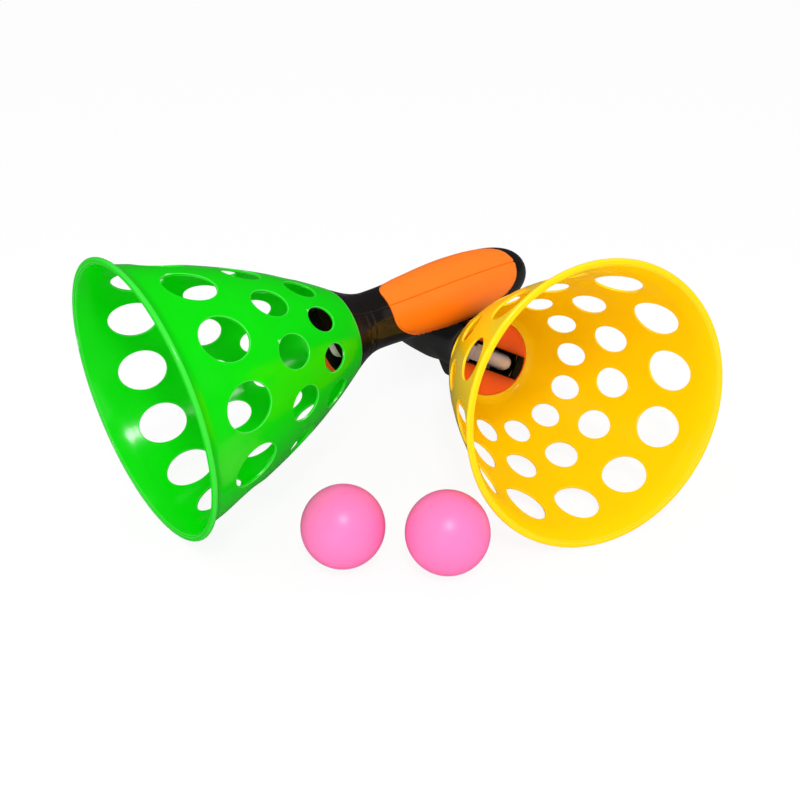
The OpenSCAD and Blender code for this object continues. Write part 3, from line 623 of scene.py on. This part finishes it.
def slot_liner(name):
    """Black guides on both sides of the lever's slot, highest along the lever and level with the seat's rim
    at their ends, and a block that closes the slot at each end."""
    y = np.linspace(-GUIDE_END, GUIDE_END, 61)
    top = SEAT_RIM_Z - GUIDE * (1 - (np.abs(y) / GUIDE_END) ** 6)
    foot = np.full_like(y, GUIDE_FOOT)
    x = SLOT_HALF - 0.3
    grids = []
    for side in (1, -1):
        inner, outer = SLOT_HALF - 0.25, SLOT_HALF + 0.15
        section = ((inner, top), (outer, top), (outer, foot), (inner, foot))
        wall = [np.column_stack([np.full(len(y), side * out), y, z]) for out, z in section]
        grids.append((np.stack(wall, 1), False, True))
        caps = [np.stack([[w[i] for w in wall[:2]], [w[i] for w in wall[:1:-1]]]) for i in (0, -1)]
        grids += [(cap, False, False) for cap in caps]
        rounding = [(x, SLOT_END - 1.3), (x * 0.55, SLOT_END - 0.4), (0.0, SLOT_END),
                    (-x * 0.55, SLOT_END - 0.4), (-x, SLOT_END - 1.3)]
        end = np.array([(-x, BLOCK_FROM), (x, BLOCK_FROM), *rounding]) * [1, side]
        grids.append((rounded_block(end, SEAT_RIM_Z - 0.15, SEAT_BACK, 0.15), True, False))
    return surface(f"{name}_slot_guides", placed(grids, name), GUIDES, f"{name}_catcher",
                   sharp=35.0)


def rounded_block(outline, z0, z1, ease):
    """Plate with a convex outline and eased edges: u runs round the outline, v from the middle of one face
    over the rounded edge to the middle of the other. The outline shrinks toward its middle by the easing."""
    mid = outline.mean(0)
    out = outline - mid
    size = np.linalg.norm(out, axis=1, keepdims=True)

    def ring(share, z):
        return np.column_stack([mid + out * share, np.full(len(out), z)])

    turns = np.linspace(0, PI / 2, 6)
    inner = (0.0, 0.5, 0.85)
    grid = [ring(s, z0) for s in inner]
    grid += [ring(1 - ease * (1 - math.sin(t)) / size, z0 + ease * (1 - math.cos(t))) for t in turns]
    grid += [ring(1 - ease * (1 - math.sin(t)) / size, z1 - ease * (1 - math.cos(t))) for t in turns[::-1]]
    grid += [ring(s, z1) for s in inner[::-1]]
    return np.stack(grid, 1)


def barrel(x0, x1, y, z, r, ease=0.25):
    """Round bar along x with eased ends: u runs round it, v along its outline."""
    nick = ease * 0.3
    profile = np.array([[0, x0], [r - ease, x0], [r - nick, x0 + nick], [r, x0 + ease], [r, x1 - ease],
                        [r - nick, x1 - nick], [r - ease, x1], [0, x1]])
    bar = turned(profile, 40)
    return np.stack([bar[..., 2], y + bar[..., 0], z + bar[..., 1]], -1)


def lever_nub():
    """Raised round end of the lever: u runs round a long oval, v from its foot over the dome to the ridge
    line. The height over the arm grows toward the tip and falls off across as an ellipse."""
    a = np.linspace(0, 2 * PI, 96)[:-1]
    c, s = np.cos(a), np.sin(a)
    foot_y = np.where(s > 0, NUB_Y + NUB_LONG * np.maximum(s, 0), NUB_Y + NUB_BACK * s)
    foot = np.stack([NUB_HALF * np.sign(c) * np.abs(c) ** 0.8, foot_y], 1)
    ridge = np.stack([np.zeros(len(a)), np.clip(foot_y, -6.0, NUB_Y)], 1)
    rows = [np.column_stack([foot, np.full(len(a), 117.4)])]
    for t in np.linspace(0, 1, 16) * PI / 2:
        p = foot + (ridge - foot) * (1 - np.cos(t))
        climb = np.clip((p[:, 1] + 7.5) / 13.0, 0, 1)
        rise = NUB * climb * climb * (3 - 2 * climb)
        rows.append(np.column_stack([p, 117.0 - (0.4 + rise) * np.sin(t)]))
    return np.stack(rows, 1)


def box_outline(x0, x1, y0, y1):
    """Four corners of an upright plate's outline."""
    return np.array([[x0, y0], [x1, y0], [x1, y1], [x0, y1]])


def lever(name):
    """Arm with a raised round end, hub on the pin, and the catch beside the sear."""
    a = np.linspace(0, PI, 40)
    side_y = np.linspace(*ARM_SIDE, 20)
    arm = np.vstack([
        np.stack([ARM_HALF * np.cos(a), ARM_ROUND_Y + ARM_ROUND * np.sin(a)], 1),
        np.stack([np.full(20, -ARM_HALF), side_y], 1),
        np.stack([np.linspace(-ARM_FOOT_HALF, ARM_FOOT_HALF, 12), np.full(12, ARM_FOOT_Y)], 1),
        np.stack([np.full(20, ARM_HALF), side_y[::-1]], 1),
    ])
    neck = box_outline(*ARM_NECK_X, LEVER_PIN[0], ARM_SIDE[1])
    tab, foot = box_outline(*CATCH_X, *CATCH_Y), box_outline(CATCH_FOOT_X, CATCH_X[1], *CATCH_Y)
    blocks = [
        rounded_block(arm, ARM_TOP, ARM_LOW, 0.9), rounded_block(neck, ARM_TOP + 0.3, ARM_LOW - 0.1, 0.1),
        barrel(*HUB_X, *LEVER_PIN, HUB_R), rounded_block(tab, *CATCH_Z, 0.2),
        rounded_block(foot, CATCH_FOOT_Z, CATCH_Z[1], 0.3), lever_nub(),
    ]
    grids = [(block, True, False) for block in blocks]
    return surface(f"{name}_lever_arm", placed(grids, name), PALE, f"{name}_lever",
                   (f"{name}_launch_lever",), sharp=50.0)


# Trigger

def trigger_blade(name):
    """Finger pad over the trigger's solid: u runs round a squarish section, v along the pad. The outside
    bulges as a skewed sine from flush at its lower end, and both ends close in a round."""
    v = np.linspace(0, 1, 46)
    length = PAD_Z[1] - PAD_Z[0]
    out = PAD_OUT - PAD_BULGE * np.sin(PI * v ** 0.6)
    from_end = np.clip(np.minimum(v, 1 - v) * length / PAD_EASE, 0, 1)
    close = np.sqrt(np.clip(1 - (1 - from_end) ** 2, 0, 1))
    a = np.arange(64) * 2 * PI / 64
    square_c, square_s = (np.sign(t) * np.abs(t) ** 0.3 for t in (np.cos(a), np.sin(a)))
    x = (out + PAD_BACK) / 2 + np.outer(square_c, (PAD_BACK - out) / 2 * close)
    y = np.outer(square_s, PAD_HALF * close)
    hollow = PAD_HOLLOW * np.exp(-((v - 0.55) / 0.25) ** 2)
    across = np.cos(np.clip(y / PAD_HALF, -1, 1) * PI / 2)
    x = x + np.where(np.cos(a)[:, None] < 0, hollow * across, 0)
    grid = np.stack([x, y, np.tile(PAD_Z[0] + v * length, (len(a), 1))], -1)
    return surface(f"{name}_trigger_pad", placed([(grid, True, False)], name), BLACK, f"{name}_trigger_arm",
                   sharp=60.0)


# Springs

def tube(path, r, around=12):
    """Round wire of radius r along a path: each ring stands square to the path's direction."""
    d = np.gradient(path, axis=0)
    d /= np.linalg.norm(d, axis=1, keepdims=True)
    helper = np.array([0.31, 0.57, 0.76])
    n = np.cross(d, helper)
    n /= np.linalg.norm(n, axis=1, keepdims=True)
    b = np.cross(d, n)
    a = np.arange(around) * 2 * PI / around
    ring = path[None] + r * (np.cos(a)[:, None, None] * n + np.sin(a)[:, None, None] * b)
    ends = [np.tile(path[i], (around, 1))[:, None] for i in (0, -1)]
    return np.concatenate([ends[0], ring, ends[1]], 1)


def coil(start=0.0):
    """Helix about local x that begins at an angle in degrees."""
    t = np.linspace(0, 2 * PI * COIL_TURNS, int(60 * COIL_TURNS))
    x, y, z = COIL_PITCH * t / (2 * PI), COIL_R * np.cos(t), COIL_R * np.sin(t)
    c, s = math.cos(math.radians(start)), math.sin(math.radians(start))
    return np.stack([x, y * c - z * s, y * s + z * c], -1)


def spring(name, part, path):
    """Wire along a path, for the lever or for the trigger."""
    body = f"{name}_lever" if part == "lever" else f"{name}_trigger_arm"
    return surface(f"{name}_{part}_coil", placed([(tube(path, WIRE), True, False)], name), SPRING_STEEL, body,
                   (f"{name}_{part}_spring",), sharp=60.0)


def springs(name):
    """The lever's coil lies beside its hub, with a leg under the arm and a tail down, and the trigger's coil
    lies beside its own pin."""
    turns = np.array([LEVER_COIL_X, *LEVER_PIN]) + coil(10.0)
    leg_ends = [[LEVER_COIL_X, y, LEVER_LEG_Z] for y in LEVER_LEG_Y]
    leg = np.linspace(*leg_ends, 24)
    tail = np.linspace(turns[-1], turns[-1] + [0, 0, LEVER_TAIL], 10)[1:]
    spring(name, "lever", np.vstack([leg, turns, tail]))
    x, y, z = coil()[6:].T
    turns = np.array([TRIGGER_PIN[0], TRIGGER_COIL_Y, TRIGGER_PIN[1]]) + np.stack([-y, x, z], -1)
    leg_ends = [[TRIGGER_LEG_X, TRIGGER_COIL_Y, z] for z in TRIGGER_LEG_Z]
    leg = np.linspace(*leg_ends, 24)
    spring(name, "trigger", np.vstack([leg, turns]))


# Balls

def ball(node):
    """Sphere with a fine welded seam on its equator: u runs round the seam's axis, v from pole to pole."""
    x, y, yaw, pitch = BALLS[node]
    lat = np.concatenate([
        np.linspace(-PI / 2, -0.06, 50), np.linspace(-0.05, 0.05, 21), np.linspace(0.06, PI / 2, 50),
    ])
    r = BALL_R - BALL_SEAM_DEEP * np.exp(-(lat / BALL_SEAM_WIDE) ** 2)
    points = turned(np.stack([r * np.cos(lat), r * np.sin(lat)], 1), 128)
    cy, sy, cp, sp = math.cos(yaw), math.sin(yaw), math.cos(pitch), math.sin(pitch)
    spin = np.array([[cy, -sy, 0], [sy, cy, 0], [0, 0, 1]]) @ np.array([[1, 0, 0], [0, cp, -sp], [0, sp, cp]])
    points = (points @ spin.T + np.array([x + SHIFT[0], y + SHIFT[1], BALL_R])) * MM
    side = node.split("_")[1]
    return surface(f"pink_{side}_ball", [(points, True, False)], PINK, f"{side}_ball", (node,),
                   sharp=60.0)


def repaint(node, material):
    """The CAD node stays and takes a finished material."""
    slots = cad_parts[node].data.materials
    slots.clear()
    slots.append(material)


for colour_name, plastic in (("green", GREEN), ("yellow", YELLOW)):
    basket(colour_name, plastic)
    handle(colour_name)
    for panel_side, panel_label in ((1, "right"), (-1, "left")):
        grip_panel(colour_name, panel_side, panel_label)
    seat(colour_name)
    slot_liner(colour_name)
    lever(colour_name)
    trigger_blade(colour_name)
    springs(colour_name)
    repaint(f"{colour_name}_trigger", BLACK)
    repaint(f"{colour_name}_lever_pin", PIN_STEEL)
    repaint(f"{colour_name}_trigger_pin", PIN_STEEL)
    repaint(f"{colour_name}_case_screws", SCREW_STEEL)
for ball_node in BALLS:
    ball(ball_node)


# Floor, light and camera

# Brightness that the floor and the air show to the camera, to glossy rays and to all other rays
SEEN_WHITE, FLOOR_SHARE, FLOOR_SHARE_MIRRORED = 1.0, 0.9, 0.9
FLOOR_MIRRORED, AIR_MIRRORED, AIR_SCATTERED = 0.03, 0.04, 0.9
FLOOR_HALF, FLOOR_DROP = 6.0, 0.0002
# Softboxes: place, aim, size in metres and power in watts
SOFTBOXES = {
    "front_softbox": ((0.05, -0.62, 0.78), (0, 0, 0.05), 0.16, 3.4),
    "left_softbox": ((-0.95, -0.3, 0.7), (0, 0, 0.05), 0.8, 0.9),
    "right_softbox": ((0.95, -0.4, 0.8), (0, 0, 0.05), 0.8, 0.6),
    "low_softbox": ((-0.25, -1.0, 0.2), (0.05, 0, 0.05), 0.7, 1.2),
}
# Camera, fitted to the photograph: focal length in pixels of an 800-pixel frame, distance, height and tilt
FRAME_PIXELS, FOCAL_PIXELS, SENSOR = 800.0, 797.0, 36.0
CAMERA_BACK, CAMERA_UP, CAMERA_TILT = 452.0, 257.4, 60.34


def seen_level(tree, direct, mirrored, scattered):
    """Brightness that a surround shows to the camera, to glossy rays and to all other rays."""
    path = tree.nodes.new("ShaderNodeLightPath").outputs
    sight = tree.nodes.new("ShaderNodeMath")
    sight.operation = "MAXIMUM"
    tree.links.new(path["Is Camera Ray"], sight.inputs[0])
    tree.links.new(path["Is Transmission Ray"], sight.inputs[1])
    out = None
    for mask, level in ((path["Is Glossy Ray"], mirrored), (sight.outputs[0], direct)):
        mix = tree.nodes.new("ShaderNodeMix")
        mix.inputs["A"].default_value = scattered
        mix.inputs["B"].default_value = level
        tree.links.new(mask, mix.inputs["Factor"])
        if out:
            tree.links.new(out, mix.inputs["A"])
        out = mix.outputs["Result"]
    return out


def stage_material(name, colour):
    """Matt floor that takes the object's shadow, lifted to white for the camera and dark in mirrored rays."""
    mat, tree, shader, node = new_material(name)
    tree.nodes.remove(shader)
    paint = node("ShaderNodeBsdfDiffuse", Color=(*colour, 1.0))
    bright = node("ShaderNodeEmission", Color=(1.0, 1.0, 1.0, 1.0))
    tree.links.new(seen_level(tree, SEEN_WHITE, FLOOR_MIRRORED, 0.0), bright.inputs["Strength"])
    mix = node("ShaderNodeMixShader", {1: paint.outputs[0], 2: bright.outputs[0]})
    tree.links.new(seen_level(tree, FLOOR_SHARE, FLOOR_SHARE_MIRRORED, 0.0), mix.inputs[0])
    tree.links.new(mix.outputs[0], tree.nodes["Material Output"].inputs["Surface"])
    return mat


def softbox(name, place_at, aim, size, power):
    """Square area lamp that looks at a point."""
    data = bpy.data.lights.new(name, "AREA")
    data.shape = "SQUARE"
    data.size = size
    data.energy = power
    lamp = bpy.data.objects.new(name, data)
    bpy.context.scene.collection.objects.link(lamp)
    lamp.location = place_at
    lamp.rotation_euler = (Vector(aim) - Vector(place_at)).to_track_quat("-Z", "Y").to_euler()


ground = bpy.data.meshes.new("pale_floor")
corners = [(FLOOR_HALF * i, FLOOR_HALF * j, -FLOOR_DROP) for i, j in ((-1, -1), (1, -1), (1, 1), (-1, 1))]
ground.from_pydata(corners, [], [(0, 1, 2, 3)])
ground.materials.append(stage_material("pale_floor_paint", (0.9, 0.9, 0.9)))
floor = bpy.data.objects.new("pale_floor", ground)
bpy.context.scene.collection.objects.link(floor)

world = bpy.data.worlds.new("studio_air")
world.use_nodes = True
air = world.node_tree
sky = air.nodes["Background"]
sky.inputs["Color"].default_value = (1.0, 1.0, 1.0, 1.0)
air.links.new(seen_level(air, SEEN_WHITE, AIR_MIRRORED, AIR_SCATTERED), sky.inputs["Strength"])
bpy.context.scene.world = world

for lamp_name, lamp_values in SOFTBOXES.items():
    softbox(lamp_name, *lamp_values)

camera = bpy.data.objects.new("photo_camera", bpy.data.cameras.new("photo_camera"))
camera.data.lens = FOCAL_PIXELS / FRAME_PIXELS * SENSOR
camera.data.sensor_width = SENSOR
camera.data.sensor_fit = "HORIZONTAL"
camera.data.clip_start = 0.01
camera.location = (SHIFT[0] * MM, (SHIFT[1] - CAMERA_BACK) * MM, CAMERA_UP * MM)
camera.rotation_euler = (math.radians(CAMERA_TILT), 0.0, 0.0)
bpy.context.scene.collection.objects.link(camera)
bpy.context.scene.camera = camera
bpy.context.scene.view_settings.view_transform = "Standard"
